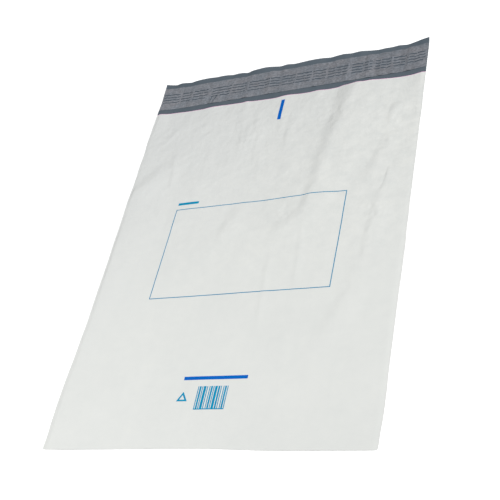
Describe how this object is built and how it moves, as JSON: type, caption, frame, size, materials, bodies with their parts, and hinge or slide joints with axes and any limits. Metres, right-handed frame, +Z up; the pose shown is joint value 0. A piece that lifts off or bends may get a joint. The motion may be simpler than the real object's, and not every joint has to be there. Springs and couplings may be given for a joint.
{
  "type": "poly mailer bag",
  "caption": "Flat plastic-film mailing bag, folded at the bottom and welded at the sides, with an open mouth and a lip that carries a peel-off liner over adhesive.",
  "frame": {"origin": "middle of the bag's outline, on the surface that it lies on", "axes": "+X across the bag, +Y from the bottom fold to the lip, +Z up out of the front panel"},
  "size_m": [0.325, 0.48, 0.0058],
  "materials": {
    "white_film": "satin",
    "adhesive": "gloss",
    "liner": "satin",
    "blue_ink": "satin"
  },
  "bodies": {
    "root": {"film_bag": "white_film", "adhesive_strip": "adhesive", "release_liner": "liner", "address_frame": "blue_ink", "position_bar": "blue_ink", "title_rule": "blue_ink", "foot_rule": "blue_ink", "bar_block": "blue_ink", "corner_mark": "blue_ink"}
  },
  "joints": []
}
